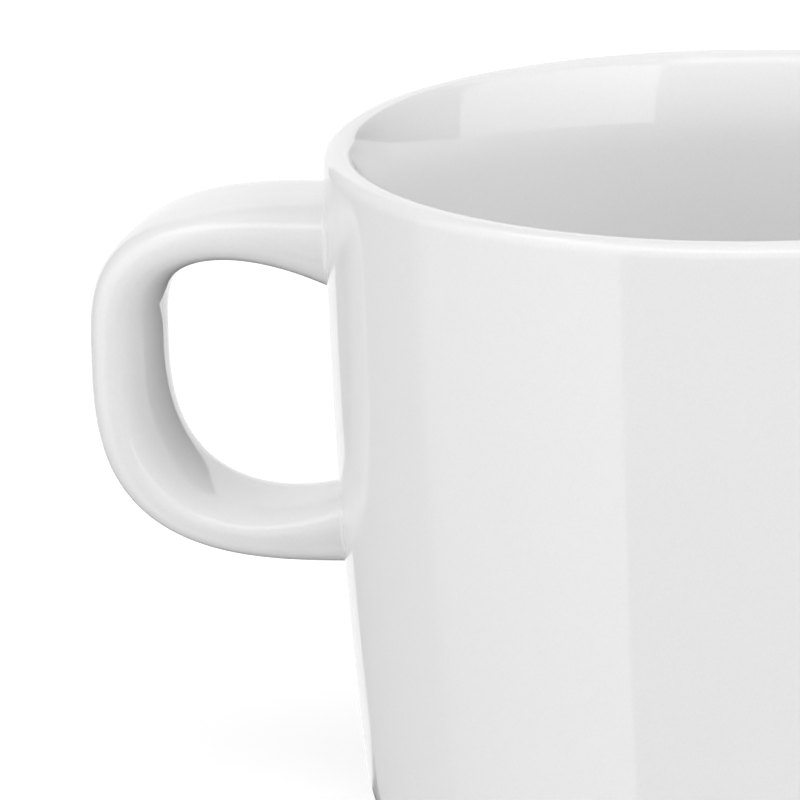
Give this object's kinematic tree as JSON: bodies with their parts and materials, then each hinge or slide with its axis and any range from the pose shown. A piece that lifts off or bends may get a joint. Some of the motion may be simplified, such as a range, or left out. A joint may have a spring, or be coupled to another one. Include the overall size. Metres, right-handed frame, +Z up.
{
  "type": "shaving mug",
  "caption": "Round glazed ceramic mug with a gently curved side, a rounded base on a low foot ring, a wall that thins to a round lip, and a strap handle.",
  "frame": {"origin": "centre of the foot ring, in the plane that the mug stands on, on the cup's axis", "axes": "+Z up along the cup's axis to the open mouth; the handle points along -X; +Y completes a right-handed frame"},
  "size_m": [0.1164, 0.09, 0.08],
  "materials": {
    "bisque": "matt fired body, unglazed, as on the foot ring",
    "slip": "matt fired slip",
    "white_glaze": "smooth glossy white glaze"
  },
  "bodies": {
    "root": {"cup_body": "bisque", "handle": "bisque", "upper_slip_joint": "slip", "lower_slip_joint": "slip", "outer_glaze": "white_glaze", "liner_glaze": "white_glaze", "base_glaze": "white_glaze", "handle_glaze": "white_glaze"}
  },
  "joints": []
}
